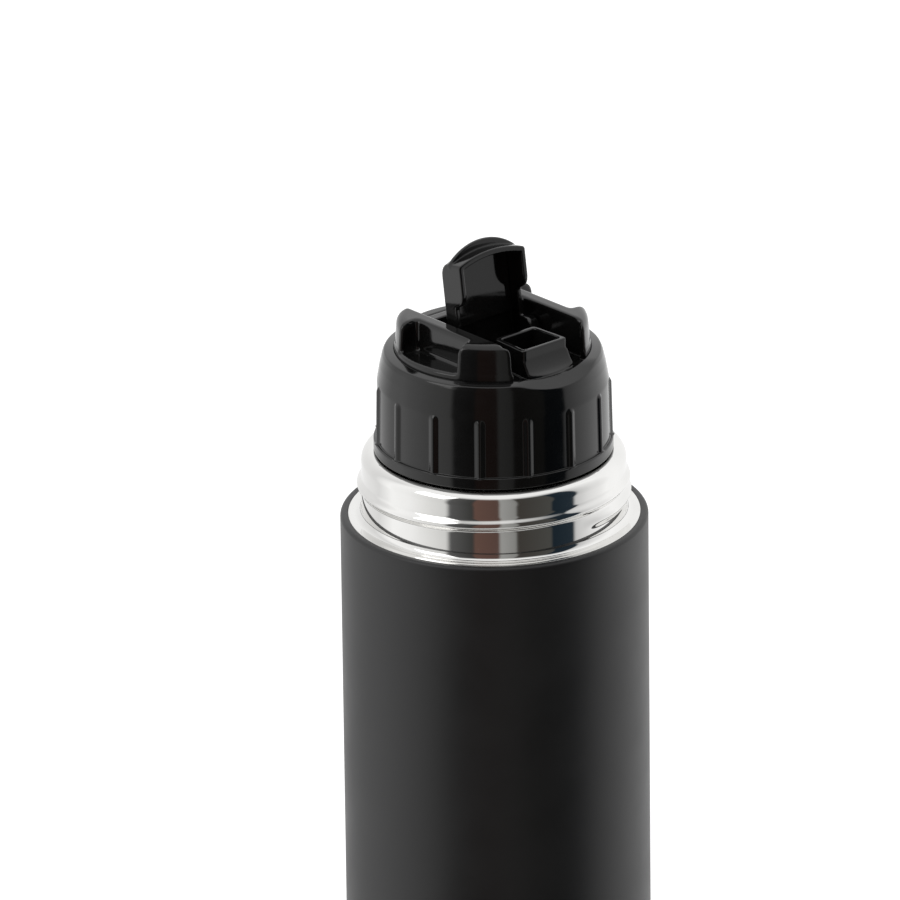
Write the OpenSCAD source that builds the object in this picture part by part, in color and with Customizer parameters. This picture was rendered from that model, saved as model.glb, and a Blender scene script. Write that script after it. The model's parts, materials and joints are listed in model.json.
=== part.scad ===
// Vacuum flask with a screw-out pour-through stopper and a flip lever.
// Origin at the centre of the base, +Z up. The spout pours towards -Y.
// The lever is drawn open, at the end of its travel.

/* [Body] */
// Outside diameter of the painted body
body_d = 80; // [79:0.5:84]
// Height of the steel ledge where the paint stops
ledge_z = 205; // [170:1:260]
// Thickness of the outer steel sheet
shell_t = 0.6; // [0.4:0.1:0.7]
// Radius of the rounded shoulder and of the foot
shoulder_r = 2; // [1.5:0.25:2.5]

/* [Neck] */
// Outside diameter of the bare steel neck
neck_d = 68.8; // [68:0.2:69.6]
// Height of the neck above the ledge
neck_h = 17.8; // [17.4:0.1:17.8]
// Pitch of the cup thread rolled into the neck
cup_pitch = 4.5; // [4:0.25:5]
// Turns of the cup thread
cup_turns = 1.18; // [1:0.02:1.3]
// Height of the cup thread ridge above the wall
cup_ridge_h = 1.1; // [0.6:0.1:1.4]

/* [Inner vessel] */
// Outside diameter of the inner vessel
liner_d = 71.4; // [70:0.2:74]
// Thickness of the inner steel sheet
liner_t = 0.5; // [0.4:0.05:0.5]
// Inside radius of the threaded mouth
mouth_r = 27; // [26.9:0.1:27.2]
// Lead of the stopper thread
stopper_lead = 8; // [7:0.5:9]

/* [Stopper] */
// Outside diameter of the collar's wall at its foot
collar_d = 60.6; // [60:0.1:61]
// Number of grip ribs
rib_count = 15; // [9:1:20]
// Width of one grip rib
rib_w = 2.3; // [1.6:0.1:3]
// Height of the two cheeks above the ledge
cheek_z = 55; // [53.5:0.5:56]
// Half width of the channel between the cheeks
channel_half = 13.1; // [13.1:0.1:13.5]

/* [Lever] */
// Angle between the closed and the open lever
open_deg = 98; // [80:1:105]
// Half width of the lever
lever_half = 11.25; // [11:0.05:11.4]
// Thickness of the lever's plate
plate_t = 1.25; // [1.1:0.05:1.3]
// Radius of the hinge pins
pin_r = 1.5; // [1.2:0.1:1.6]

/* [Hidden] */
$fn = 96;
eps = 0.01;
body_r = body_d / 2;
neck_r = neck_d / 2;
liner_r = liner_d / 2;

// Heights of the flask's floor, from the base upwards
foot_ring_w = 2.4;
foot_r = body_r - shoulder_r - foot_ring_w;
cover_z = 0.3;
cover_t = 0.5;
pan_z = 1.5;
pan_t = 0.8;
port_r = 2;
inner_floor_z = 7;
inner_corner_r = 6;

// Neck, measured from the ledge
dome_r = 3;
fillet_r = 2.5;
curl_r = 2;
neck_weld_z = neck_h - curl_r - 1;
cup_ridge_w = 4.3;
cup_low_z = 5.5;
cup_low_deg = -91;

// Stopper thread, measured from the ledge
seat_r = 25.65;
seat_top_z = -8.5;
seat_low_z = -16;
liner_ridge_r = 26;
plug_ridge_r = 26.6;
stopper_ridge_w = 2.6;
liner_ridge_z = -2.2;
liner_turns = 1.4;
plug_ridge_z = liner_ridge_z - 2.8;
plug_turns = 1.4;

// Collar, measured from the ledge
collar_z = 18.1;
rim_r = collar_d / 2 + 0.8;
rim_top_z = 21.2;
wall_r = collar_d / 2;
crease_z = 45.2;
lip_z = 45.8;
rib_top_z = 37.2;
rib_centre_r = wall_r - 0.5;
cavity_r = 27.5;
ceiling_z = 41.5;
opening_r = 25.4;
facet_deg = 28.5;
facet_y = -24.3;
facet_z = 45.5;

// Plug, measured from the ledge
plug_r = 25;
plug_wall = 2;
plug_low_z = -14;
flange_z = 19.3;
flange_t = 2;
flange_r = 29.2;
cover_low_z = -16;
ring_z = -12.6;
ring_h = 2.4;
ring_groove_r = 23.9;
ring_r = 25.55;

// Spout and duct, measured from the axis and the ledge
spout_back_y = -8.5;
spout_front_y = -20.6;
spout_back_half = 6.8;
spout_front_half = 7.6;
spout_wall = 1.4;
spout_z = 52;
duct_wall = 1.1;
duct_half = 6;
duct_top_z = 40.4;
vent_y = 14;
vent_r = 1.5;
vent_wall = 1;

// Insert, measured from the ledge
insert_r = 25.3;
cheek_foot_r = 25.3;
cheek_top_r = 24.6;
toe_half = 12.1;
toe_y = -20;
insert_low_z = 39.8;
retainer_r = 26.8;
retainer_top_z = 41.4;
floor_z = 47;
underside_z = 42.2;
underside_r = 23.3;
recess_z = 44;
channel_floor_z = 44.9;
ramp_half = 7.6;
ramp_top_z = 47.6;
ramp_front_y = -23.9;
recess_back_y = 19;
back_deck_z = 48.5;
pocket_half = 17.5;
pocket_z = 46.5;
pocket_back_y = 9.8;
pocket_front_y = -12;
pocket_lip_w = 0.9;

// Lever, in its closed position, measured from the hinge axis; s runs from the hinge to the tip
hinge_y = -1.3;
hinge_z = ledge_z + 48.3;
plate_low = 4.3;
lever_top = plate_low + plate_t;
lever_wall = 1.5;
heel_s = 3;
corner_s = 22;
apex_s = 24;
nose_r = 2.6;
skirt_low = 1.15;
ear_low = -2.1;
ear_start_s = 10.8;
ear_round_r = 3.3;
tab_low = 1.6;
tab_t = 1.5;
tab_apex_s = 26.3;
tab_arc_r = 17.2;
hub_half = 12.7;
hub_r = 3.1;
boss_l = hub_half - lever_half + lever_wall;
pin_fit = 0.05;
pin_depth = 3.4;
seal_low = 3.75;
seal_gap = 0.15;
seal_start_s = 4.5;
arch_rise = apex_s - corner_s;
arch_r = (lever_half * lever_half + arch_rise * arch_rise) / (2 * arch_rise);
arch_s = apex_s - arch_r;

// ---------- shared shapes ----------

// Quarter of a ring of sheet in the r-z plane; side_r and side_z choose the quarter
module sheet_corner(outer_r, sheet_t, side_r, side_z) {
    intersection() {
        difference() {
            circle(r = outer_r);
            circle(r = outer_r - sheet_t);
        }
        translate([side_r < 0 ? -outer_r : 0, side_z < 0 ? -outer_r : 0])
            square(outer_r);
    }
}

// Radial height of a ridge at angle a, faded to nothing at both ends
function ridge_fade(a, total, fade) =
    let (edge = min(a, total - a) / fade)
    edge >= 1 ? 1 : 0.12 + 0.88 * sin(90 * max(edge, 0));

// One cross-section of a ridge: root inside the wall, crown at root_r + rise
function ridge_section(a, z, root_r, rise, width, bury) = [
    for (p = [[-1, -0.5], [0.75, -0.25], [1, 0], [0.75, 0.25], [-1, 0.5]])
    let (r = p[0] < 0 ? root_r - bury * sign(rise) : root_r + rise * p[0])
    [r * cos(a), r * sin(a), z + width * p[1]]
];

// Helical ridge swept round the Z axis; a negative rise makes an internal thread
module ridge(root_r, rise, width, lead, turns, start_deg, start_z, bury) {
    steps = ceil(turns * 48);
    total = turns * 360;
    points = [
        for (i = [0 : steps])
        let (a = total * i / steps, k = ridge_fade(a, total, 20))
        each ridge_section(start_deg + a, start_z + lead * a / 360,
            root_r, rise * k, width * (0.5 + 0.5 * k), bury)
    ];
    n = 5;
    sides = [
        for (i = [0 : steps - 1], j = [0 : n - 1])
        let (p = i * n + j, q = i * n + (j + 1) % n)
        each [[p, q + n, q], [p, p + n, q + n]]
    ];
    near_end = [for (j = [1 : n - 2]) [0, j, j + 1]];
    far_end = [for (j = [1 : n - 2]) [steps * n, steps * n + j + 1, steps * n + j]];
    faces = concat(near_end, sides, far_end);
    polyhedron(points, rise < 0 ? faces : [for (f = faces) [f[2], f[1], f[0]]]);
}

// Outline of the spout in plan, grown outwards by g
module spout_plan(g) {
    polygon([
        [-spout_back_half - g, spout_back_y + g],
        [spout_back_half + g, spout_back_y + g],
        [spout_front_half + g, spout_front_y - g],
        [-spout_front_half - g, spout_front_y - g]
    ]);
}

// Rectangular duct in plan, grown outwards by g
module duct_plan(g) {
    translate([-duct_half - g, spout_front_y + 0.6 - g])
        square([2 * (duct_half + g), spout_back_y - spout_front_y - 1.2 + 2 * g]);
}

// Lever outline in plan, with its arched end; inset moves the sides and the arch inwards
module lever_arch(inset, heel) {
    intersection() {
        translate([-lever_half + inset, -apex_s])
            square([2 * (lever_half - inset), apex_s + heel]);
        translate([0, -arch_s])
            circle(r = arch_r - inset);
    }
}

// Side view of the lever: plate with a rounded nose, skirts, and the deeper ears towards the tip
module lever_side() {
    translate([-heel_s, skirt_low])
        square([heel_s + apex_s - nose_r, lever_top - skirt_low]);
    translate([0, skirt_low])
        square([apex_s, lever_top - nose_r - skirt_low]);
    translate([apex_s - nose_r, lever_top - nose_r])
        circle(r = nose_r);
    translate([ear_start_s + ear_round_r, ear_low])
        square([apex_s - ear_start_s - ear_round_r, skirt_low - ear_low + 1]);
    translate([ear_start_s, ear_low + ear_round_r])
        square([ear_round_r + 1, skirt_low - ear_low - ear_round_r + 1]);
    translate([ear_start_s + ear_round_r, ear_low + ear_round_r])
        circle(r = ear_round_r);
}

// ---------- flask ----------

module outer_tube() {
    color("#1b1b1c")
    rotate_extrude() {
        translate([body_r - shell_t, shoulder_r])
            square([shell_t, ledge_z - 2 * shoulder_r]);
        translate([body_r - shoulder_r, ledge_z - shoulder_r])
            sheet_corner(shoulder_r, shell_t, 1, 1);
        translate([body_r - shoulder_r, shoulder_r])
            sheet_corner(shoulder_r, shell_t, 1, -1);
        translate([foot_r, 0])
            square([foot_ring_w, shell_t]);
    }
}

module threaded_neck() {
    flange_r0 = neck_r + fillet_r;
    color("#d8d9da")
    translate([0, 0, ledge_z])
    union() {
        rotate_extrude() {
            translate([flange_r0, -shell_t])
                square([body_r - shoulder_r - flange_r0, shell_t]);
            translate([flange_r0, fillet_r])
                sheet_corner(fillet_r + shell_t, shell_t, -1, -1);
            translate([neck_r - shell_t, fillet_r])
                square([shell_t, neck_h - dome_r - fillet_r]);
            translate([neck_r - dome_r, neck_h - dome_r])
                sheet_corner(dome_r, shell_t, 1, 1);
            translate([mouth_r + curl_r, neck_h - shell_t])
                square([neck_r - dome_r - mouth_r - curl_r, shell_t]);
            translate([mouth_r + curl_r, neck_h - curl_r])
                sheet_corner(curl_r, shell_t, -1, 1);
            translate([mouth_r, neck_weld_z])
                square([shell_t, neck_h - curl_r - neck_weld_z]);
        }
        ridge(neck_r, cup_ridge_h, cup_ridge_w, cup_pitch, cup_turns, cup_low_deg, cup_low_z, 0.3);
    }
}

// Pan welded into the foot, with the port through which the vacuum is drawn
module outer_base() {
    color("#b9babb")
    difference() {
        rotate_extrude() {
            translate([0, pan_z])
                square([foot_r - 1, pan_t]);
            translate([foot_r - 1, shell_t])
                square([pan_t, pan_z + pan_t - shell_t]);
            translate([foot_r - 1, shell_t])
                square([2.5, pan_t]);
        }
        translate([0, 0, pan_z - 1])
            cylinder(r = port_r, h = pan_t + 2);
    }
}

module base_cover() {
    color("#c9cacb")
    rotate_extrude() {
        translate([0, cover_z])
            square([foot_r - 1.2, cover_t]);
    }
}

// Solder that closes the port
module vacuum_seal() {
    color("#8c8f92")
    translate([0, 0, pan_z - 0.4])
    union() {
        cylinder(r = port_r, h = pan_t + 0.4);
        translate([0, 0, pan_t + 0.4])
            cylinder(r = port_r + 1, h = 0.6);
    }
}

// Pill that soaks up stray gas, on the underside of the inner vessel
module getter() {
    color("#6f6f70")
    translate([18, 0, inner_floor_z - 1.8])
        cylinder(r = 4.5, h = 1.8);
}

module inner_liner() {
    shoulder_z = seat_low_z - 3;
    lower_r = 3;
    upper_r = 6;
    color("#d2d3d4")
    translate([0, 0, ledge_z])
    union() {
        rotate_extrude() {
            translate([mouth_r, seat_top_z + 2])
                square([liner_t, neck_weld_z - seat_top_z - 2]);
            polygon([
                [mouth_r, seat_top_z + 2], [mouth_r + liner_t, seat_top_z + 2],
                [seat_r + liner_t, seat_top_z], [seat_r, seat_top_z]
            ]);
            translate([seat_r, seat_low_z + lower_r])
                square([liner_t, seat_top_z - seat_low_z - lower_r]);
            translate([seat_r + liner_t + lower_r, seat_low_z + lower_r])
                sheet_corner(lower_r + liner_t, liner_t, -1, -1);
            translate([seat_r + liner_t + lower_r, seat_low_z - liner_t])
                square([liner_r - upper_r - seat_r - liner_t - lower_r, liner_t]);
            translate([liner_r - upper_r, seat_low_z - upper_r])
                sheet_corner(upper_r, liner_t, 1, 1);
            translate([liner_r - liner_t, inner_floor_z + inner_corner_r - ledge_z])
                square([liner_t, seat_low_z - upper_r - inner_floor_z - inner_corner_r + ledge_z]);
        }
        ridge(mouth_r, liner_ridge_r - mouth_r, stopper_ridge_w, stopper_lead, liner_turns,
            0, liner_ridge_z, 0.25);
    }
}

module inner_bottom() {
    color("#cccdce")
    rotate_extrude() {
        translate([0, inner_floor_z])
            square([liner_r - inner_corner_r, liner_t]);
        translate([liner_r - inner_corner_r, inner_floor_z + inner_corner_r])
            sheet_corner(inner_corner_r, liner_t, 1, -1);
    }
}

// Foil wrapped round the inner vessel to turn heat back
module radiation_foil() {
    color("#c98b5c")
    translate([0, 0, inner_floor_z + inner_corner_r + 5])
    difference() {
        cylinder(r = liner_r + 0.25, h = ledge_z - 60);
        translate([0, 0, -1])
            cylinder(r = liner_r + 0.05, h = ledge_z - 58);
    }
}

// ---------- stopper ----------

module stopper_collar() {
    color("#0c0c0d")
    translate([0, 0, ledge_z])
    difference() {
        union() {
            rotate_extrude()
                polygon([
                    [opening_r, collar_z], [rim_r - 0.3, collar_z], [rim_r, collar_z + 0.3],
                    [rim_r, rim_top_z - 0.3], [rim_r - 0.3, rim_top_z], [wall_r, rim_top_z + 0.1],
                    [wall_r - 0.3, rib_top_z], [wall_r - 1, crease_z - 4], [wall_r - 1.9, crease_z - 0.7],
                    [wall_r - 2.2, crease_z], [opening_r, lip_z]
                ]);
            for (i = [0 : rib_count - 1])
                rotate([0, 0, -90 + 360 * i / rib_count])
                    translate([rib_centre_r, 0, rim_top_z - 0.5]) {
                        cylinder(r = rib_w / 2, h = rib_top_z - rim_top_z + 0.5 - rib_w / 2, $fn = 32);
                        translate([0, 0, rib_top_z - rim_top_z + 0.5 - rib_w / 2])
                            sphere(r = rib_w / 2, $fn = 32);
                    }
        }
        translate([0, 0, collar_z - 1])
            cylinder(r = flange_r + 0.05, h = flange_z + flange_t + 0.05 - collar_z + 1);
        translate([0, 0, collar_z])
            cylinder(r = cavity_r, h = ceiling_z - collar_z);
        translate([0, facet_y, facet_z])
            rotate([facet_deg, 0, 0])
                translate([-40, -20, 0])
                    cube([80, 20, 20]);
    }
}

// Two cheeks with a little draft; towards the spout's mouth they close in on the channel
module cheek_blocks() {
    intersection() {
        translate([0, 0, floor_z - 1])
            cylinder(r1 = cheek_foot_r, r2 = cheek_top_r, h = cheek_z - floor_z + 1);
        for (side = [-1, 1]) {
            translate([side > 0 ? channel_half : -channel_half - 20, -30, floor_z - 2])
                cube([20, 30 + recess_back_y, 30]);
            translate([side > 0 ? toe_half : -toe_half - 20, -30, floor_z - 2])
                cube([20, 30 + toe_y, 30]);
        }
    }
}

module side_pockets() {
    for (side = [-1, 1])
        intersection() {
            translate([side > 0 ? pocket_half : -pocket_half - 20, pocket_front_y, pocket_z])
                cube([20, pocket_back_y - pocket_front_y, 20]);
            union() {
                translate([0, 0, pocket_z])
                    cylinder(r = insert_r - pocket_lip_w, h = 20);
                translate([0, 0, floor_z + 0.3])
                    cylinder(r = insert_r + 1, h = 20);
            }
        }
}

// Ramp in front of the spout, down to the floor beside it
module pour_ramp() {
    rotate([90, 0, 90])
        translate([0, 0, -ramp_half])
            linear_extrude(2 * ramp_half)
                polygon([
                    [spout_front_y + 0.5, channel_floor_z - 1], [spout_front_y + 0.5, ramp_top_z],
                    [spout_front_y, ramp_top_z], [ramp_front_y, channel_floor_z + 0.3],
                    [ramp_front_y, channel_floor_z - 1]
                ]);
}

module stopper_insert() {
    color("#0a0a0b")
    translate([0, 0, ledge_z])
    difference() {
        union() {
            translate([0, 0, insert_low_z])
                cylinder(r = insert_r, h = floor_z - insert_low_z);
            translate([0, 0, insert_low_z])
                cylinder(r = retainer_r, h = retainer_top_z - insert_low_z);
            difference() {
                translate([0, 0, floor_z - 1])
                    cylinder(r = insert_r, h = 1.3);
                translate([0, 0, floor_z - 2])
                    cylinder(r = insert_r - pocket_lip_w, h = 3);
                translate([-channel_half, -30, floor_z - 2])
                    cube([2 * channel_half, 60, 4]);
            }
            intersection() {
                translate([0, 0, floor_z - 1])
                    cylinder(r = insert_r, h = back_deck_z - floor_z + 1);
                translate([-30, recess_back_y, floor_z - 1])
                    cube([60, 20, 10]);
            }
            cheek_blocks();
            translate([0, 0, duct_top_z])
                linear_extrude(spout_z - duct_top_z)
                    spout_plan(0);
        }
        side_pockets();
        // recess behind and under the lever
        translate([-channel_half, spout_back_y, recess_z])
            cube([2 * channel_half, recess_back_y - spout_back_y, 20]);
        // hollow underside round the spout
        difference() {
            translate([0, 0, insert_low_z - 1])
                cylinder(r = underside_r, h = underside_z - insert_low_z + 1);
            translate([0, 0, duct_top_z])
                linear_extrude(20)
                    spout_plan(0);
            translate([0, vent_y, duct_top_z])
                cylinder(r = vent_r + vent_wall + 0.8, h = 20);
        }
        // way through the spout, and the vent
        translate([0, 0, duct_top_z - 1])
            linear_extrude(spout_z - duct_top_z + 2)
                spout_plan(-spout_wall);
        translate([0, vent_y, duct_top_z - 1])
            cylinder(r = vent_r, h = 20);
        // floor beside and in front of the spout
        difference() {
            union() {
                translate([-channel_half, toe_y, channel_floor_z])
                    cube([2 * channel_half, spout_back_y + 0.5 - toe_y, 20]);
                translate([-toe_half, -30, channel_floor_z])
                    cube([2 * toe_half, 30 + toe_y + eps, 20]);
            }
            translate([0, 0, channel_floor_z - 1])
                linear_extrude(30)
                    spout_plan(0);
            pour_ramp();
        }
        // bores for the hinge pins
        for (side = [-1, 1])
            translate([side * channel_half, hinge_y, hinge_z - ledge_z])
                rotate([0, 90 * side, 0])
                    translate([0, 0, -1])
                        cylinder(r = pin_r, h = pin_depth + 1);
    }
}

module stopper_plug() {
    color("#161617")
    translate([0, 0, ledge_z])
    difference() {
        union() {
            translate([0, 0, plug_low_z])
                cylinder(r = plug_r, h = flange_z + flange_t - plug_low_z);
            translate([0, 0, flange_z])
                cylinder(r = flange_r, h = flange_t);
            ridge(plug_r, plug_ridge_r - plug_r, stopper_ridge_w, stopper_lead, plug_turns,
                0, plug_ridge_z, 0.5);
        }
        translate([0, 0, plug_low_z - 1])
            cylinder(r = plug_r - plug_wall, h = flange_z - plug_low_z + 1);
        translate([0, 0, plug_low_z - 1])
            linear_extrude(60)
                duct_plan(0.05);
        translate([0, vent_y, plug_low_z - 1])
            cylinder(r = vent_r + vent_wall + 0.05, h = 60);
        difference() {
            translate([0, 0, ring_z])
                cylinder(r = plug_r + 1, h = ring_h);
            translate([0, 0, ring_z - 1])
                cylinder(r = ring_groove_r, h = ring_h + 2);
        }
    }
}

// Disc that closes the bottom of the plug
module plug_cover() {
    color("#161617")
    translate([0, 0, ledge_z])
    difference() {
        union() {
            translate([0, 0, cover_low_z])
                cylinder(r = plug_r, h = plug_low_z - cover_low_z);
            translate([0, 0, plug_low_z - 1])
                cylinder(r = plug_r - plug_wall - 0.05, h = 2.5);
        }
        translate([0, 0, cover_low_z - 1])
            linear_extrude(10)
                duct_plan(0.05);
        translate([0, vent_y, cover_low_z - 1])
            cylinder(r = vent_r + vent_wall + 0.05, h = 10);
    }
}

module foam_core() {
    color("#f1efe6")
    translate([0, 0, ledge_z + plug_low_z + 1.7])
    difference() {
        cylinder(r = plug_r - plug_wall - 0.1, h = flange_z - plug_low_z - 1.9);
        translate([0, 0, -1])
            linear_extrude(60)
                duct_plan(0.1);
        translate([0, vent_y, -1])
            cylinder(r = vent_r + vent_wall + 0.1, h = 60);
    }
}

module pour_duct() {
    color("#1d1d1e")
    translate([0, 0, ledge_z + cover_low_z])
    linear_extrude(duct_top_z - cover_low_z - 0.8)
        difference() {
            duct_plan(0);
            duct_plan(-duct_wall);
        }
}

// Seal between the duct and the spout
module duct_gasket() {
    color("#7d7d7d")
    translate([0, 0, ledge_z + duct_top_z - 0.8])
    linear_extrude(0.8)
        difference() {
            duct_plan(0);
            duct_plan(-duct_wall);
        }
}

module vent_tube() {
    color("#1d1d1e")
    translate([0, vent_y, ledge_z + cover_low_z])
    difference() {
        cylinder(r = vent_r + vent_wall, h = duct_top_z - cover_low_z);
        translate([0, 0, -1])
            cylinder(r = vent_r, h = duct_top_z - cover_low_z + 2);
    }
}

module rim_gasket() {
    color("#9a9a98")
    translate([0, 0, ledge_z + neck_h + 0.05])
    difference() {
        cylinder(r = flange_r - 0.1, h = flange_z - neck_h - 0.1);
        translate([0, 0, -1])
            cylinder(r = mouth_r + 0.6, h = 4);
    }
}

module plug_seal_ring() {
    color("#9a9a98")
    translate([0, 0, ledge_z + ring_z + 0.05])
    difference() {
        cylinder(r = ring_r, h = ring_h - 0.1);
        translate([0, 0, -1])
            cylinder(r = ring_groove_r + 0.05, h = ring_h + 2);
    }
}

module hinge_pins() {
    color("#bfc0c2")
    for (side = [-1, 1])
        translate([side * (channel_half + pin_depth), hinge_y, hinge_z])
            rotate([0, -90 * side, 0])
                cylinder(r = pin_r, h = pin_depth + channel_half - hub_half + boss_l - 0.2);
}

// ---------- lever, drawn closed and then swung open ----------

module swing_open() {
    translate([0, hinge_y, hinge_z])
        rotate([-open_deg, 0, 0])
            children();
}

// Hollow cap that goes down round the spout
module lever_shell() {
    difference() {
        intersection() {
            translate([0, 0, ear_low - 1])
                linear_extrude(lever_top - ear_low + 2)
                    lever_arch(0, heel_s);
            rotate([90, 0, -90])
                translate([0, 0, -30])
                    linear_extrude(60)
                        lever_side();
        }
        translate([0, 0, ear_low - 2])
            linear_extrude(plate_low - ear_low + 2)
                lever_arch(lever_wall, heel_s + 5);
    }
}

// Finger tab that stands out from the end wall
module lever_tab() {
    translate([0, 0, tab_low])
        linear_extrude(tab_t)
            difference() {
                intersection() {
                    translate([-lever_half, -tab_apex_s])
                        square([2 * lever_half, tab_apex_s - corner_s + 3]);
                    translate([0, tab_arc_r - tab_apex_s])
                        circle(r = tab_arc_r);
                }
                lever_arch(lever_wall, heel_s);
            }
}

module flip_lever() {
    color("#0a0a0b")
    swing_open()
    difference() {
        union() {
            lever_shell();
            lever_tab();
            for (side = [-1, 1])
                translate([side * hub_half, 0, 0])
                    rotate([0, -90 * side, 0])
                        cylinder(r = hub_r, h = boss_l);
        }
        rotate([0, 90, 0])
            translate([0, 0, -30])
                cylinder(r = pin_r + pin_fit, h = 60);
    }
}

// Soft pad under the lever's plate that closes the spout
module lever_seal() {
    color("#141415")
    swing_open()
    translate([0, 0, seal_low])
        linear_extrude(plate_low - seal_low)
            intersection() {
                lever_arch(lever_wall + seal_gap, heel_s);
                translate([-lever_half, -apex_s])
                    square([2 * lever_half, apex_s - seal_start_s]);
            }
}

outer_tube();
threaded_neck();
outer_base();
base_cover();
vacuum_seal();
getter();
inner_liner();
inner_bottom();
radiation_foil();
stopper_collar();
stopper_insert();
stopper_plug();
plug_cover();
foam_core();
pour_duct();
duct_gasket();
vent_tube();
rim_gasket();
plug_seal_ring();
hinge_pins();
flip_lever();
lever_seal();
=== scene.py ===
# Vacuum flask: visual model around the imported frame. Metres throughout.
import json
import math

import bpy
import numpy as np
from mathutils import Matrix, Vector


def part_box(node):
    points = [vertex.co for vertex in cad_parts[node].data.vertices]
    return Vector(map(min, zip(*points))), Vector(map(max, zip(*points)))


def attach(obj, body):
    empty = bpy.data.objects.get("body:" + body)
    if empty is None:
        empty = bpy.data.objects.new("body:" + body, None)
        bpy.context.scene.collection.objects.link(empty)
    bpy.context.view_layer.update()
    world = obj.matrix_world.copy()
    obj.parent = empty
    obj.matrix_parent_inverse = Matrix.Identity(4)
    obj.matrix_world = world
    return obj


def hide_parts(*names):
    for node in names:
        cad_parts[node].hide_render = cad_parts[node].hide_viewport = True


MM = 0.001
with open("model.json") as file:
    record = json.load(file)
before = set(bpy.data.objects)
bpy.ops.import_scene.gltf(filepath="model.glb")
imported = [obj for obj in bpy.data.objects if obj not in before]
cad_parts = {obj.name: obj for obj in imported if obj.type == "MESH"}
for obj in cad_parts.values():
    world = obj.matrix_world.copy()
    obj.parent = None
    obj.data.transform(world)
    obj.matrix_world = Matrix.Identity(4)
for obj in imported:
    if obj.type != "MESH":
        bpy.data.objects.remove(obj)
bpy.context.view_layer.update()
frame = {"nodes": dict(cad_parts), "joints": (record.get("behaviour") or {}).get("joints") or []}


# ---------- where things are, from the frame ----------

def corner(node, high, axis):
    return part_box(node)[1 if high else 0][axis] / MM


BODY_R = corner("outer_tube", True, 0)
LEDGE = corner("outer_tube", True, 2)
NECK_TOP = corner("threaded_neck", True, 2) - LEDGE
RIM_R = corner("stopper_collar", True, 0)
COLLAR_LOW = corner("stopper_collar", False, 2) - LEDGE
LIP_Z = corner("stopper_collar", True, 2) - LEDGE
CHEEK_TOP = corner("stopper_insert", True, 2) - LEDGE
HUB_HALF = corner("flip_lever", True, 0)
LEVER_HALF = HUB_HALF - 1.45
JOINTS = {j["name"]: j for j in frame["joints"]}
HINGE = [c / MM for c in JOINTS["lever_close"]["pos_m"]]
OPEN_ANGLE = math.radians(JOINTS["lever_close"]["range_deg"][1])


# ---------- meshes from numbers ----------

def mesh_object(name, points, quads):
    """An object from points in millimetres and an array of quads, facing outwards."""
    points = np.asarray(points, float)
    quads = np.asarray(quads, np.int64)
    a, b, c, d = (points[quads[:, i]] for i in range(4))
    volume = (np.einsum("ij,ij->i", a, np.cross(b, c)) + np.einsum("ij,ij->i", a, np.cross(c, d))).sum()
    if volume < 0:
        quads = quads[:, ::-1]
    mesh = bpy.data.meshes.new(name)
    mesh.vertices.add(len(points))
    mesh.vertices.foreach_set("co", (points * MM).astype(np.float32).ravel())
    mesh.loops.add(quads.size)
    mesh.loops.foreach_set("vertex_index", quads.astype(np.int32).ravel())
    mesh.polygons.add(len(quads))
    mesh.polygons.foreach_set("loop_start", np.arange(0, quads.size, 4, dtype=np.int32))
    mesh.update(calc_edges=True)
    mesh.validate()
    mesh.shade_smooth()
    piece = bpy.data.objects.new(name, mesh)
    bpy.context.scene.collection.objects.link(piece)
    return piece


def fillet_path(corners, step=0.5, arc_step=0.2):
    """A closed outline in (r, z) from corners (r, z, fillet radius), cut into short spans."""
    out = []
    n = len(corners)
    for i in range(n):
        before, here, after = (np.array(corners[(i + k) % n][:2], float) for k in (-1, 0, 1))
        radius = corners[i][2]
        u, v = before - here, after - here
        lu, lv = np.linalg.norm(u), np.linalg.norm(v)
        u, v = u / lu, v / lv
        half = math.acos(np.clip(u @ v, -1, 1)) / 2
        if radius <= 0 or half > math.pi / 2 - 0.01:
            out.append(here)
            continue
        reach = min(radius / math.tan(half), 0.49 * lu, 0.49 * lv)
        radius = reach * math.tan(half)
        centre = here + (u + v) / np.linalg.norm(u + v) * radius / math.sin(half)
        start, end = here + u * reach - centre, here + v * reach - centre
        turn = math.atan2(start[0] * end[1] - start[1] * end[0], start @ end)
        steps = max(4, int(abs(turn) * radius / arc_step))
        for k in range(steps + 1):
            t = turn * k / steps
            out.append(centre + [start[0] * math.cos(t) - start[1] * math.sin(t),
                                 start[0] * math.sin(t) + start[1] * math.cos(t)])
    dense = []
    for i, p in enumerate(out):
        q = out[(i + 1) % len(out)]
        pieces = max(1, int(np.linalg.norm(q - p) / step))
        dense += [p + (q - p) * k / pieces for k in range(pieces)]
    return np.array(dense)


def lathe(name, outline, angles, shape=None):
    """Turns a closed outline into a shell. shape(r, angle, z) returns the moved r and z."""
    angle, r = np.meshgrid(angles, outline[:, 0], indexing="ij")
    z = np.broadcast_to(outline[:, 1], r.shape).copy()
    if shape:
        r, z = shape(r.copy(), angle, z)
    points = np.stack([r * np.cos(angle), r * np.sin(angle), z + LEDGE], -1).reshape(-1, 3)
    rows, cols = r.shape
    i, j = np.meshgrid(np.arange(rows), np.arange(cols), indexing="ij")
    i2, j2 = (i + 1) % rows, (j + 1) % cols
    quads = np.stack([i * cols + j, i2 * cols + j, i2 * cols + j2, i * cols + j2], -1).reshape(-1, 4)
    return mesh_object(name, points, quads)


def even_angles(count):
    return np.arange(count) * 2 * math.pi / count


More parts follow.
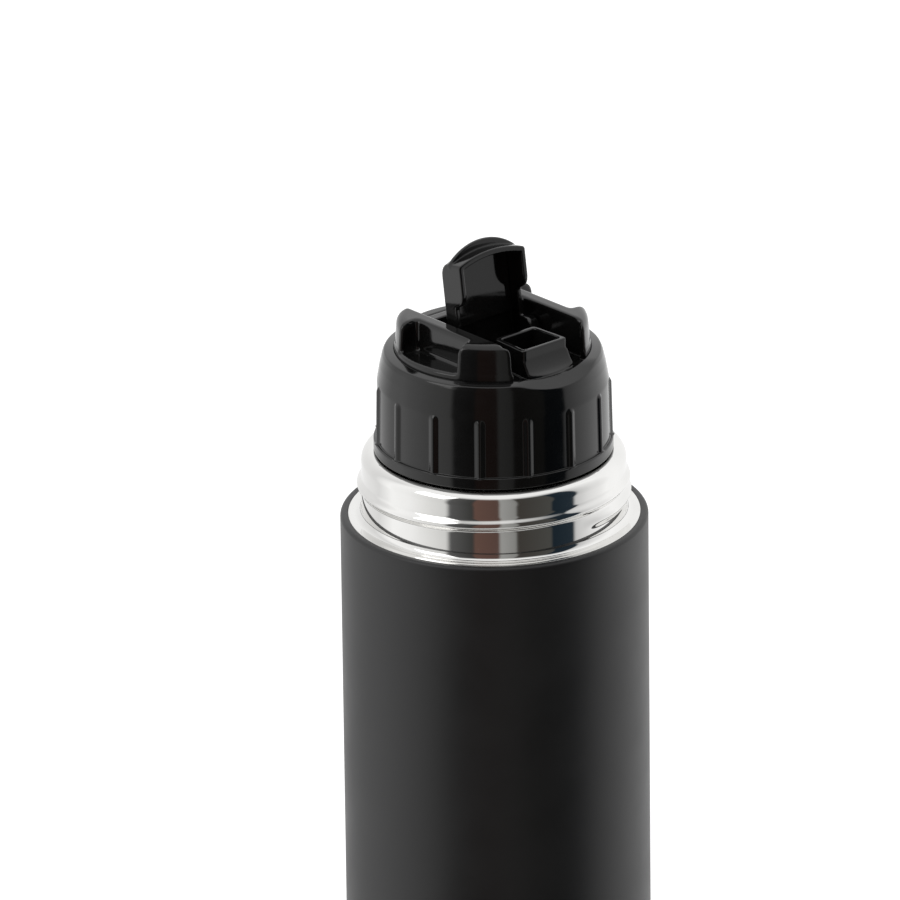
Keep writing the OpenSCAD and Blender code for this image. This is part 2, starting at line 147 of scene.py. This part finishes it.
def ridge_height(angle, z, start_deg, start_z, lead, turns, width, height, fade_deg=24):
    """Height of a rounded helical ridge over a wall, faded at both ends."""
    best = np.zeros_like(z)
    for k in range(-1, int(turns) + 2):
        a = np.degrees(angle) - start_deg
        a = a % 360 + 360 * k
        edge = np.clip(np.minimum(a, turns * 360 - a) / fade_deg, 0, 1)
        fade = edge * edge * (3 - 2 * edge)
        off = np.abs(z - (start_z + lead * a / 360)) / (width / 2)
        bump = np.where(off < 1, 0.5 + 0.5 * np.cos(math.pi * np.clip(off, 0, 1)), 0)
        best = np.maximum(best, bump * fade * height)
    return best


# ---------- solid shapes from distance functions ----------

def smooth_max(a, b, k):
    h = np.clip(0.5 + 0.5 * (a - b) / k, 0, 1)
    return b + (a - b) * h + k * h * (1 - h)


def smooth_min(a, b, k):
    return -smooth_max(-a, -b, k)


def surface(field, low, high, step):
    """Points and quads where field(x, y, z) is zero: one point in each cell that the surface crosses."""
    axes = [np.arange(lo - 2 * step, hi + 2.5 * step, step) for lo, hi in zip(low, high)]
    grid = np.meshgrid(*axes, indexing="ij")
    value = field(*grid)
    inside = value < 0
    shape = tuple(s - 1 for s in value.shape)
    total = np.zeros(shape + (3,))
    count = np.zeros(shape)
    for axis in range(3):
        others = [a for a in range(3) if a != axis]
        for da in (0, 1):
            for db in (0, 1):
                cut0 = [slice(0, n) for n in shape]
                cut0[others[0]] = slice(da, da + shape[others[0]])
                cut0[others[1]] = slice(db, db + shape[others[1]])
                cut1 = list(cut0)
                cut1[axis] = slice(1, 1 + shape[axis])
                v0, v1 = value[tuple(cut0)], value[tuple(cut1)]
                crossing = (v0 < 0) != (v1 < 0)
                t = np.where(crossing, v0 / np.where(crossing, v0 - v1, 1), 0)
                total[..., axis] += np.where(crossing, t, 0)
                total[..., others[0]] += crossing * da
                total[..., others[1]] += crossing * db
                count += crossing
    used = count > 0
    index = np.full(shape, -1, np.int64)
    index[used] = np.arange(used.sum())
    cells = np.argwhere(used)
    points = (cells + total[used] / count[used][:, None]) * step + [a[0] for a in axes]
    quads = []
    for axis in range(3):
        b, c = [a for a in range(3) if a != axis]
        lo = [slice(None)] * 3
        hi = [slice(None)] * 3
        lo[axis], hi[axis] = slice(0, -1), slice(1, None)
        change = inside[tuple(lo)] != inside[tuple(hi)]
        spot = np.argwhere(change)
        spot = spot[(spot[:, b] > 0) & (spot[:, c] > 0) & (spot[:, b] < value.shape[b] - 1)
                    & (spot[:, c] < value.shape[c] - 1)]
        around = []
        for db, dc in ((-1, -1), (0, -1), (0, 0), (-1, 0)):
            cell = spot.copy()
            cell[:, b] += db
            cell[:, c] += dc
            around.append(index[cell[:, 0], cell[:, 1], cell[:, 2]])
        quad = np.stack(around, -1)
        flip = inside[tuple(spot.T)] if axis != 1 else ~inside[tuple(spot.T)]
        quad[~flip] = quad[~flip][:, ::-1]
        quads.append(quad)
    quads = np.concatenate(quads)
    return settle(points, field, step), quads


def settle(points, field, step, rounds=4):
    """Moves points onto the surface of the field."""
    e = 0.02
    start = points.copy()
    for _ in range(rounds):
        x, y, z = points.T
        f = field(x, y, z)
        g = np.stack([
            field(x + e, y, z) - field(x - e, y, z),
            field(x, y + e, z) - field(x, y - e, z),
            field(x, y, z + e) - field(x, y, z - e),
        ], -1) / (2 * e)
        size = np.maximum((g * g).sum(-1), 0.2)
        points = points - (f / size)[:, None] * g
        moved = points - start
        far = np.linalg.norm(moved, axis=1, keepdims=True)
        points = start + moved * np.minimum(1, 0.9 * step / np.maximum(far, 1e-9))
    return points


# ---------- materials ----------

def material(name, color, roughness, metallic=0.0):
    mat = bpy.data.materials.new(name)
    mat.use_nodes = True
    nodes, links = mat.node_tree.nodes, mat.node_tree.links
    shader = nodes["Principled BSDF"]
    shader.inputs["Base Color"].default_value = (*color, 1)
    shader.inputs["Roughness"].default_value = roughness
    shader.inputs["Metallic"].default_value = metallic
    place = nodes.new("ShaderNodeTexCoord")
    return mat, nodes, links, shader, place.outputs["Object"]


def noise(nodes, links, place, scale, detail=3.0, stretch=None):
    """A noise texture over object coordinates, in cycles a metre, perhaps stretched along an axis."""
    tex = nodes.new("ShaderNodeTexNoise")
    tex.inputs["Scale"].default_value = scale
    tex.inputs["Detail"].default_value = detail
    tex.inputs["Roughness"].default_value = 0.5
    if stretch:
        mapping = nodes.new("ShaderNodeMapping")
        mapping.inputs["Scale"].default_value = stretch
        links.new(place, mapping.inputs["Vector"])
        place = mapping.outputs["Vector"]
    links.new(place, tex.inputs["Vector"])
    return tex.outputs["Fac"]


def remap(nodes, links, fac, low, high, from_low=0.3, from_high=0.7):
    node = nodes.new("ShaderNodeMapRange")
    node.inputs["From Min"].default_value = from_low
    node.inputs["From Max"].default_value = from_high
    node.inputs["To Min"].default_value = low
    node.inputs["To Max"].default_value = high
    links.new(fac, node.inputs["Value"])
    return node.outputs["Result"]


def tint(nodes, links, fac, dark, light):
    ramp = nodes.new("ShaderNodeValToRGB")
    ramp.color_ramp.elements[0].position = 0.3
    ramp.color_ramp.elements[0].color = (*dark, 1)
    ramp.color_ramp.elements[1].position = 0.7
    ramp.color_ramp.elements[1].color = (*light, 1)
    links.new(fac, ramp.inputs["Fac"])
    return ramp.outputs["Color"]


def bump(nodes, links, height, depth, shader, strength=1.0):
    node = nodes.new("ShaderNodeBump")
    node.inputs["Strength"].default_value = strength
    node.inputs["Distance"].default_value = depth
    links.new(height, node.inputs["Height"])
    links.new(node.outputs["Normal"], shader.inputs["Normal"])


def powder_coat():
    mat, nodes, links, shader, place = material("powder_coat", (0.016, 0.016, 0.017), 0.42)
    shader.inputs["Specular IOR Level"].default_value = 0.5
    grain = noise(nodes, links, place, 5200, 2)
    cloud = noise(nodes, links, place, 60, 4)
    links.new(tint(nodes, links, cloud, (0.0135, 0.0135, 0.0145), (0.0175, 0.0175, 0.0185)),
              shader.inputs["Base Color"])
    links.new(remap(nodes, links, cloud, 0.40, 0.46), shader.inputs["Roughness"])
    bump(nodes, links, grain, 0.000035, shader, 0.5)
    return mat


def polished_steel():
    mat, nodes, links, shader, place = material("polished_steel", (0.83, 0.825, 0.81), 0.05, 1.0)
    turned = noise(nodes, links, place, 900, 3, stretch=(0.05, 0.05, 1))
    smear = noise(nodes, links, place, 90, 4)
    links.new(remap(nodes, links, smear, 0.035, 0.075), shader.inputs["Roughness"])
    links.new(tint(nodes, links, smear, (0.80, 0.795, 0.78), (0.85, 0.845, 0.83)),
              shader.inputs["Base Color"])
    bump(nodes, links, turned, 0.000006, shader, 0.35)
    return mat


def satin_steel():
    mat, nodes, links, shader, place = material("satin_steel", (0.6, 0.6, 0.6), 0.3, 1.0)
    turned = noise(nodes, links, place, 1400, 3, stretch=(0.08, 0.08, 1))
    links.new(remap(nodes, links, turned, 0.22, 0.38), shader.inputs["Roughness"])
    links.new(tint(nodes, links, turned, (0.55, 0.55, 0.56), (0.66, 0.66, 0.66)),
              shader.inputs["Base Color"])
    bump(nodes, links, turned, 0.00001, shader, 0.4)
    return mat


def moulded_black(name, roughness, grain_depth, level=0.0065):
    mat, nodes, links, shader, place = material(name, (level, level, level * 1.06), roughness)
    shader.inputs["Specular IOR Level"].default_value = 0.5
    wave = noise(nodes, links, place, 260, 3)
    links.new(remap(nodes, links, wave, roughness * 0.75, roughness * 1.35), shader.inputs["Roughness"])
    links.new(tint(nodes, links, wave, (level * 0.85,) * 3, (level * 1.2,) * 3),
              shader.inputs["Base Color"])
    bump(nodes, links, wave, grain_depth, shader, 0.5)
    return mat


def rubber(name, dark, light, roughness):
    mat, nodes, links, shader, place = material(name, light, roughness)
    wave = noise(nodes, links, place, 1500, 3)
    links.new(tint(nodes, links, wave, dark, light), shader.inputs["Base Color"])
    links.new(remap(nodes, links, wave, roughness * 0.85, roughness * 1.15), shader.inputs["Roughness"])
    bump(nodes, links, wave, 0.00003, shader, 0.5)
    return mat


def foam():
    mat, nodes, links, shader, place = material("foam", (0.85, 0.82, 0.74), 0.9)
    cell = nodes.new("ShaderNodeTexVoronoi")
    cell.inputs["Scale"].default_value = 1800
    links.new(place, cell.inputs["Vector"])
    links.new(tint(nodes, links, cell.outputs["Distance"], (0.75, 0.72, 0.63), (0.88, 0.85, 0.78)),
              shader.inputs["Base Color"])
    bump(nodes, links, cell.outputs["Distance"], 0.0001, shader)
    return mat


def dull_metal(name, dark, light, roughness):
    mat, nodes, links, shader, place = material(name, light, roughness, 1.0)
    wave = noise(nodes, links, place, 500, 4)
    links.new(tint(nodes, links, wave, dark, light), shader.inputs["Base Color"])
    links.new(remap(nodes, links, wave, roughness * 0.8, roughness * 1.2), shader.inputs["Roughness"])
    bump(nodes, links, wave, 0.00004, shader, 0.6)
    return mat


MATERIALS = {
    "powder_coat": powder_coat(),
    "polished_steel": polished_steel(),
    "satin_steel": satin_steel(),
    "gloss_black": moulded_black("gloss_black", 0.09, 0.000012),
    "satin_black": moulded_black("satin_black", 0.38, 0.00004, 0.014),
    "black_seal": moulded_black("black_seal", 0.08, 0.00001, 0.009),
    "silicone": rubber("silicone", (0.36, 0.36, 0.35), (0.46, 0.46, 0.45), 0.5),
    "foam": foam(),
    "solder": dull_metal("solder", (0.4, 0.41, 0.43), (0.56, 0.57, 0.59), 0.45),
    "getter_alloy": dull_metal("getter_alloy", (0.2, 0.2, 0.2), (0.34, 0.34, 0.34), 0.6),
    "copper_foil": dull_metal("copper_foil", (0.62, 0.34, 0.2), (0.78, 0.48, 0.32), 0.25),
    "pin_steel": dull_metal("pin_steel", (0.5, 0.5, 0.5), (0.62, 0.62, 0.63), 0.28),
}


def dress(piece, slot, body, *nodes):
    piece.data.materials.clear()
    piece.data.materials.append(MATERIALS[slot])
    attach(piece, body)
    if nodes:
        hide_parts(*nodes)


# ---------- flask ----------

SHEET = 0.6
CUP_THREAD = {
    "start_deg": -91, "start_z": 5.7, "lead": 4.5, "turns": 1.18, "width": 4.3, "height": 1.2,
}


def painted_body():
    edge = 2.0
    foot_in = corner("base_cover", True, 0) + 1.2
    outline = fillet_path([
        (BODY_R, -LEDGE, edge), (BODY_R, 0, edge), (BODY_R - edge, 0, 0.15),
        (BODY_R - edge, -SHEET, 0.15), (BODY_R - SHEET, -SHEET, edge - SHEET),
        (BODY_R - SHEET, SHEET - LEDGE, edge - SHEET), (foot_in, SHEET - LEDGE, 0.15),
        (foot_in, -LEDGE, 0.15),
    ], 2.5, 0.15)
    dress(lathe("painted_body", outline, even_angles(288)), "powder_coat", "flask", "outer_tube")


def steel_neck():
    wall = 34.4
    ledge_r = BODY_R - 2
    mouth = 27.0
    top = NECK_TOP
    weld = 14.8
    outline = fillet_path([
        (ledge_r - 0.05, -0.05, 0.12), (wall, -0.05, 2.4), (wall, top, 3.0),
        (mouth, top, 2.0), (mouth, weld, 0),
        (mouth + SHEET, weld, 0), (mouth + SHEET, top - SHEET, 1.4),
        (wall - SHEET, top - SHEET, 2.4), (wall - SHEET, -SHEET, 3.0), (ledge_r - 0.05, -SHEET, 0),
    ], 0.22, 0.15)

    def rolled(r, angle, z):
        on_wall = (r > wall - 0.05) & (z > 2.6) & (z < top - 3.0)
        lift = ridge_height(angle, z, **CUP_THREAD)
        return r + np.where(on_wall, lift, 0), z

    neck = lathe("steel_neck", outline, even_angles(480), rolled)
    dress(neck, "polished_steel", "flask", "threaded_neck")


# ---------- stopper ----------

COLLAR_WALL = RIM_R - 0.8
FACET_SLOPE = math.tan(math.radians(28.5))
FACET_Y, FACET_Z = -24.3, 45.5


def facet_height(y):
    """Height of the pouring facet's plane above the ledge."""
    return FACET_Z + FACET_SLOPE * (y - FACET_Y)


def grip_angles(count, half_width, fine, coarse):
    """Angles that crowd together at each rib."""
    pitch = 2 * math.pi / count
    close = np.linspace(-half_width, half_width, fine)
    apart = np.linspace(half_width, pitch - half_width, coarse + 2)[1:-1]
    one = np.concatenate([close, apart])
    return np.concatenate([-math.pi / 2 + pitch * i + one for i in range(count)])


def stopper_grip():
    ribs = 15
    rib_half = 1.5
    rib_rise = 0.62
    rib_top = 37.2
    wall = COLLAR_WALL
    outline = fillet_path([
        (RIM_R, COLLAR_LOW, 0.35), (RIM_R, 21.2, 0.4), (wall + 0.02, 21.25, 0.25), (wall - 0.3, 37, 6),
        (wall - 1.05, 41.3, 5), (wall - 1.75, 44.2, 2), (28.05, 45.25, 0.55), (25.45, LIP_Z, 0.25),
        (25.45, 41.5, 0.1), (27.5, 41.5, 0.4), (27.5, 21.4, 0.1), (29.25, 21.4, 0.1),
        (29.25, COLLAR_LOW, 0.3),
    ], 0.3, 0.12)
    pitch = 2 * math.pi / ribs

    def ribbed(r, angle, z):
        outer = (r > 27.6) & (z > 20.9)
        inner = r < 29.3
        away = (angle + math.pi / 2 + pitch / 2) % pitch - pitch / 2
        across = away * wall
        crown = rib_top - rib_half
        reach = np.hypot(across, np.maximum(z - crown, 0)) / rib_half
        rise = rib_rise * np.cos(np.clip(reach, 0, 1) * math.pi / 2) ** 1.6
        foot = np.clip((z - 20.95) / 0.3, 0, 1)
        outside = outer & ~(inner & (z < 41.4))
        r = r + np.where(outside, rise * foot, 0)
        plane = facet_height(r * np.sin(angle))
        cut = -smooth_max(-z, -plane, 0.5)
        upper = outside | (z > 43)
        z = np.where(upper & (plane < z + 1), cut, z)
        return r, z

    angles = grip_angles(ribs, math.radians(3.4), 21, 16)
    dress(lathe("stopper_grip", outline, angles, ribbed), "gloss_black", "stopper", "stopper_collar")


def insert_field(x, y, z):
    """Distance field of the stopper's top, with z measured from the ledge."""
    ax = np.abs(x)
    r = np.hypot(x, y)
    outer_r = 25.3
    deck, pocket_floor, recess_floor, low = 47.0, 46.5, 44.0, 41.5

    base = smooth_max(smooth_max(r - outer_r, z - deck, 0.35), low - z, 0.2)
    lip = smooth_max(smooth_max(r - outer_r, z - 47.3, 0.5), 24.2 - r, 0.4)
    lip = smooth_max(lip, 45 - z, 0.2)
    lip = smooth_max(lip, 12.4 - ax, 0.4)
    closing = np.clip((-19.0 - y) / 1.8, 0, 1)
    channel = 13.1 - closing * closing * (3 - 2 * closing)
    cheek_r = outer_r - (z - 46) * 0.08
    cheek = smooth_max(r - cheek_r, z - CHEEK_TOP, 2.8)
    cheek = smooth_max(cheek, channel - ax, 1.2)
    cheek = smooth_max(cheek, y - 19, 2.2)
    cheek = smooth_max(cheek, 44 - z, 0.3)
    back = smooth_max(smooth_max(r - outer_r + 0.1, z - 48.5, 0.6), 18.9 - y, 0.5)
    back = smooth_max(back, 45 - z, 0.3)
    solid = smooth_min(base, lip, 0.25)
    solid = smooth_min(solid, back, 0.4)
    solid = smooth_min(solid, cheek, 0.5)

    pocket = smooth_max(17.4 - ax, pocket_floor - z, 1.2)
    pocket = smooth_max(pocket, y - 9.6, 1.8)
    pocket = smooth_max(pocket, -11 - y, 1.8)
    over_lip = np.minimum(r - 24.2, np.maximum(r - 30, 47.3 - z))
    pocket = smooth_max(pocket, over_lip, 0.6)
    solid = smooth_max(solid, -pocket, 1.3)

    step = np.clip((-8.4 - y) / 1.0, 0, 1)
    floor_z = recess_floor + 0.9 * step * step * (3 - 2 * step)
    recess = smooth_max(ax - np.minimum(channel, 13.08), floor_z - z, 0.5)
    recess = smooth_max(recess, y - 18.9, 0.6)
    solid = smooth_max(solid, -recess, 0.4)

    climb = np.clip((y + 24.2) / 3.5, 0, 1)
    ramp = smooth_max(z - 45.3 - 3.7 * climb ** 2, ax - 7.6, 0.5)
    ramp = smooth_max(smooth_max(ramp, y + 19.8, 0.3), r - 24.0, 0.4)
    solid = smooth_min(solid, smooth_max(ramp, low - z, 0.2), 0.2)

    half = 6.8 + (-8.5 - y) * 0.8 / 12.1
    tube_side = smooth_max(ax - half, np.maximum(y + 8.5, -20.6 - y), 1.1)
    tube = smooth_max(smooth_max(tube_side, z - 52, 0.4), low - z, 0.2)
    solid = smooth_min(solid, tube, 0.6)
    hole_side = smooth_max(ax - half + 1.3, np.maximum(y + 9.8, -19.3 - y), 0.9)
    solid = smooth_max(solid, -hole_side, 0.4)

    groove = np.abs(np.hypot(y - 22, z - 48.5)) - 0.28
    groove = np.maximum(groove, ax - 12.2)
    solid = smooth_max(solid, -groove, 0.12)
    vent = np.hypot(x, y - 14) - 1.5
    return smooth_max(solid, -vent, 0.2)


def stopper_top():
    points, quads = surface(insert_field, (-25.4, -25.4, 41.4), (25.4, 25.4, CHEEK_TOP + 0.1), 0.3)
    points[:, 2] += LEDGE
    dress(mesh_object("stopper_top", points, quads), "gloss_black", "stopper", "stopper_insert")


# ---------- lever, built closed and swung open ----------

PLATE_LOW, PLATE_TOP = 4.3, 5.55
EAR_LOW, SKIRT_LOW = -2.1, 1.15
APEX, CORNER, HEEL = 24.0, 22.0, 3.0
WALL, NOSE = 1.5, 3.2
TAB_LOW, TAB_TOP = 1.6, 3.1
TAB_APEX, TAB_R = 26.3, 17.2
HUB_R = 3.1
ARCH_RISE = APEX - CORNER
ARCH_R = (LEVER_HALF ** 2 + ARCH_RISE ** 2) / (2 * ARCH_RISE)


def arch(x, s):
    """Distance outside the lever's arched end; s runs from the hinge to the tip."""
    return np.hypot(x, s - (APEX - ARCH_R)) - ARCH_R


def lever_field(x, y, z):
    """Distance field of the closed lever: a hollow cap with ears, a finger tab and two hubs."""
    s = -y
    ax = np.abs(x)
    side = ax - LEVER_HALF
    end = arch(x, s)
    hub = np.hypot(y, z) - HUB_R
    outer = smooth_max(smooth_max(end, z - PLATE_TOP, NOSE), side, 0.6)
    outer = smooth_max(outer, -HEEL - s, 0.8)
    hollow = smooth_max(smooth_max(side + WALL, end + WALL, 0.6), z - PLATE_LOW, 0.5)
    ear = smooth_max(EAR_LOW - z, 10.8 - s, 3.9)
    below = smooth_min(smooth_min(ear, SKIRT_LOW - z, 0.8), hub, 1.5)
    shell = smooth_max(smooth_max(outer, -hollow, 0.3), below, 0.4)
    tab = smooth_max(np.hypot(x, s - TAB_APEX + TAB_R) - TAB_R, side, 0.5)
    tab = smooth_max(tab, -(end + WALL * 0.5), 0.2)
    tab = smooth_max(smooth_max(tab, z - TAB_TOP, 0.9), TAB_LOW - z, 0.5)
    lug = smooth_max(hub, np.maximum(ax - HUB_HALF, LEVER_HALF - WALL - ax), 0.4)
    solid = smooth_min(shell, tab, 0.3)
    solid = smooth_min(solid, lug, 0.5)
    bore = np.maximum(np.hypot(y, z) - 1.55, LEVER_HALF - WALL + 0.4 - ax)
    return smooth_max(solid, -bore, 0.15)


def swing(points):
    """Closed to open: a turn about the hinge, then into the row's frame."""
    c, s = math.cos(-OPEN_ANGLE), math.sin(-OPEN_ANGLE)
    x, y, z = points.T
    return np.stack([x + HINGE[0], y * c - z * s + HINGE[1], y * s + z * c + HINGE[2]], -1)


def flip_lever():
    points, quads = surface(lever_field, (-HUB_HALF, -TAB_APEX, -3.2), (HUB_HALF, 3.2, PLATE_TOP), 0.22)
    dress(mesh_object("lever_arm", swing(points), quads), "gloss_black", "lever", "flip_lever")


def pad_field(x, y, z):
    s = -y
    side = np.abs(x) - (LEVER_HALF - WALL - 0.03)
    flat = smooth_max(smooth_max(side, arch(x, s) + WALL + 0.03, 0.6), 4.5 - s, 0.8)
    return smooth_max(smooth_max(flat, z - PLATE_LOW, 0.1), 3.75 - z, 0.2)


def lever_pad():
    points, quads = surface(pad_field, (-LEVER_HALF, -23, 3.6), (LEVER_HALF, -4.0, PLATE_LOW), 0.2)
    dress(mesh_object("lever_pad", swing(points), quads), "black_seal", "lever", "lever_seal")


# ---------- stage ----------

def floor():
    size = 6.0
    mesh = bpy.data.meshes.new("floor")
    corners = [(-size, -size, 0), (size, -size, 0), (size, size, 0), (-size, size, 0)]
    mesh.from_pydata(corners, [], [(0, 1, 2, 3)])
    piece = bpy.data.objects.new("floor", mesh)
    bpy.context.scene.collection.objects.link(piece)
    mat, nodes, links, shader, place = material("floor_white", (0.8, 0.8, 0.8), 0.8)
    shader.inputs["Specular IOR Level"].default_value = 0.0
    shader.inputs["Emission Color"].default_value = (1, 1, 1, 1)
    shader.inputs["Emission Strength"].default_value = 0.55
    mesh.materials.append(mat)
    piece.visible_glossy = False
    piece.visible_diffuse = False


def area_light(name, where, target, size, power):
    data = bpy.data.lights.new(name, "AREA")
    data.energy = power
    data.shape = "RECTANGLE"
    data.size = size
    data.size_y = size
    lamp = bpy.data.objects.new(name, data)
    lamp.location = where
    lamp.rotation_euler = (Vector(target) - Vector(where)).to_track_quat("-Z", "Y").to_euler()
    bpy.context.scene.collection.objects.link(lamp)


def around(azimuth, distance, height):
    """A place round the flask; azimuth 0 is in front (-Y) and 90 is at +X."""
    a = math.radians(azimuth)
    return (math.sin(a) * distance, -math.cos(a) * distance, height)


VIEW_AZ, VIEW_EL, VIEW_ROLL = -41.0, 22.0, 0.716


# The room round the flask: azimuth from the camera's side, in degrees, then the colour that it
# reflects there.
# The camera's side is dark, with a few soft shapes, and the sides and the back are white.
ROOM = [
    (-180, (1.0, 1.0, 1.0)), (-120, (0.8, 0.8, 0.8)),
    (-100, (1.08, 1.08, 1.08)), (-78, (1.0, 1.0, 1.0)),
    (-60, (0.85, 0.85, 0.84)), (-43, (0.72, 0.72, 0.71)),
    (-39, (0.1, 0.1, 0.1)), (-19, (0.045, 0.045, 0.043)),
    (-17, (0.13, 0.075, 0.06)), (3, (0.1, 0.06, 0.05)),
    (5, (0.34, 0.34, 0.33)), (18, (0.26, 0.26, 0.25)),
    (20, (0.05, 0.045, 0.04)), (50, (0.07, 0.07, 0.065)),
    (52, (0.012, 0.02, 0.028)), (72, (0.02, 0.03, 0.04)),
    (75, (0.62, 0.62, 0.62)), (90, (0.85, 0.85, 0.85)),
    (115, (1.08, 1.08, 1.08)), (180, (1.0, 1.0, 1.0)),
]


def room():
    """World light by direction: azimuth picks a colour from ROOM, and it is white overhead and below."""
    world = bpy.data.worlds.new("studio")
    bpy.context.scene.world = world
    world.use_nodes = True
    nodes, links = world.node_tree.nodes, world.node_tree.links
    place = nodes.new("ShaderNodeTexCoord")
    turn = nodes.new("ShaderNodeVectorRotate")
    turn.rotation_type = "Z_AXIS"
    turn.inputs["Angle"].default_value = -math.radians(VIEW_AZ)
    links.new(place.outputs["Generated"], turn.inputs["Vector"])
    parts = nodes.new("ShaderNodeSeparateXYZ")
    links.new(turn.outputs["Vector"], parts.inputs["Vector"])
    back = nodes.new("ShaderNodeMath")
    back.operation = "MULTIPLY"
    back.inputs[1].default_value = -1
    links.new(parts.outputs["Y"], back.inputs[0])
    azimuth = nodes.new("ShaderNodeMath")
    azimuth.operation = "ARCTAN2"
    links.new(parts.outputs["X"], azimuth.inputs[0])
    links.new(back.outputs["Value"], azimuth.inputs[1])
    share = remap(nodes, links, azimuth.outputs["Value"], 0, 1, -math.pi, math.pi)
    ramp = nodes.new("ShaderNodeValToRGB")
    links.new(share, ramp.inputs["Fac"])
    stops = ramp.color_ramp.elements
    stops[0].position, stops[1].position = 0, 1
    for i, (degrees, color) in enumerate(ROOM):
        last = len(ROOM) - 1
        stop = stops[0] if i == 0 else stops[-1] if i == last else stops.new((degrees + 180) / 360)
        stop.color = (*color, 1)
    above = remap(nodes, links, parts.outputs["Z"], 0, 1, 0.72, 0.9)
    below = remap(nodes, links, parts.outputs["Z"], 0, 1, -0.75, -0.9)
    either = nodes.new("ShaderNodeMath")
    either.operation = "MAXIMUM"
    links.new(above, either.inputs[0])
    links.new(below, either.inputs[1])
    mix = nodes.new("ShaderNodeMixRGB")
    links.new(either.outputs["Value"], mix.inputs["Fac"])
    links.new(ramp.outputs["Color"], mix.inputs["Color1"])
    mix.inputs["Color2"].default_value = (1, 1, 1, 1)
    links.new(mix.outputs["Color"], nodes["Background"].inputs["Color"])
    nodes["Background"].inputs["Strength"].default_value = 1.0


def studio():
    room()
    bpy.context.scene.view_settings.view_transform = "Standard"
    mid = (0, 0, 0.2)
    area_light("key_left", around(VIEW_AZ - 60, 1.6, 1.5), mid, 1.0, 5)


def camera():
    """A long lens that looks down at the stopper from in front and to the left."""
    az, el, roll = (math.radians(a) for a in (VIEW_AZ, VIEW_EL, VIEW_ROLL))
    back = Vector((math.sin(az) * math.cos(el), -math.cos(az) * math.cos(el), math.sin(el)))
    right = Vector((math.cos(az), math.sin(az), 0))
    up = back.cross(right)
    c, s = math.cos(roll), math.sin(roll)
    right, up = right * c - up * s, right * s + up * c
    view_width = 0.2330
    distance = 3.0
    aim_z = LEDGE + 16.9
    aim_left = 0.0113
    data = bpy.data.cameras.new("camera")
    data.sensor_width = 36
    data.lens = 36 * distance / view_width
    data.clip_end = 20
    eye = bpy.data.objects.new("camera", data)
    target = Vector((0, 0, aim_z * MM)) - Vector((math.cos(az), math.sin(az), 0)) * aim_left
    spot = target + back * distance
    turn = Matrix((right, up, back)).transposed().to_4x4()
    eye.matrix_world = Matrix.Translation(spot) @ turn
    bpy.context.scene.collection.objects.link(eye)
    bpy.context.scene.camera = eye


CARRIED_OVER = {
    "outer_base": "satin_steel", "base_cover": "satin_steel", "vacuum_seal": "solder",
    "getter": "getter_alloy", "inner_liner": "satin_steel", "inner_bottom": "satin_steel",
    "radiation_foil": "copper_foil", "stopper_plug": "satin_black", "plug_cover": "satin_black",
    "foam_core": "foam", "pour_duct": "satin_black", "duct_gasket": "silicone",
    "vent_tube": "satin_black", "rim_gasket": "silicone", "plug_seal_ring": "silicone",
    "hinge_pins": "pin_steel",
}

camera()
for node, slot in CARRIED_OVER.items():
    piece = frame["nodes"][node]
    for i in range(len(piece.material_slots)):
        piece.material_slots[i].material = MATERIALS[slot]
painted_body()
steel_neck()
stopper_grip()
stopper_top()
flip_lever()
lever_pad()
floor()
studio()
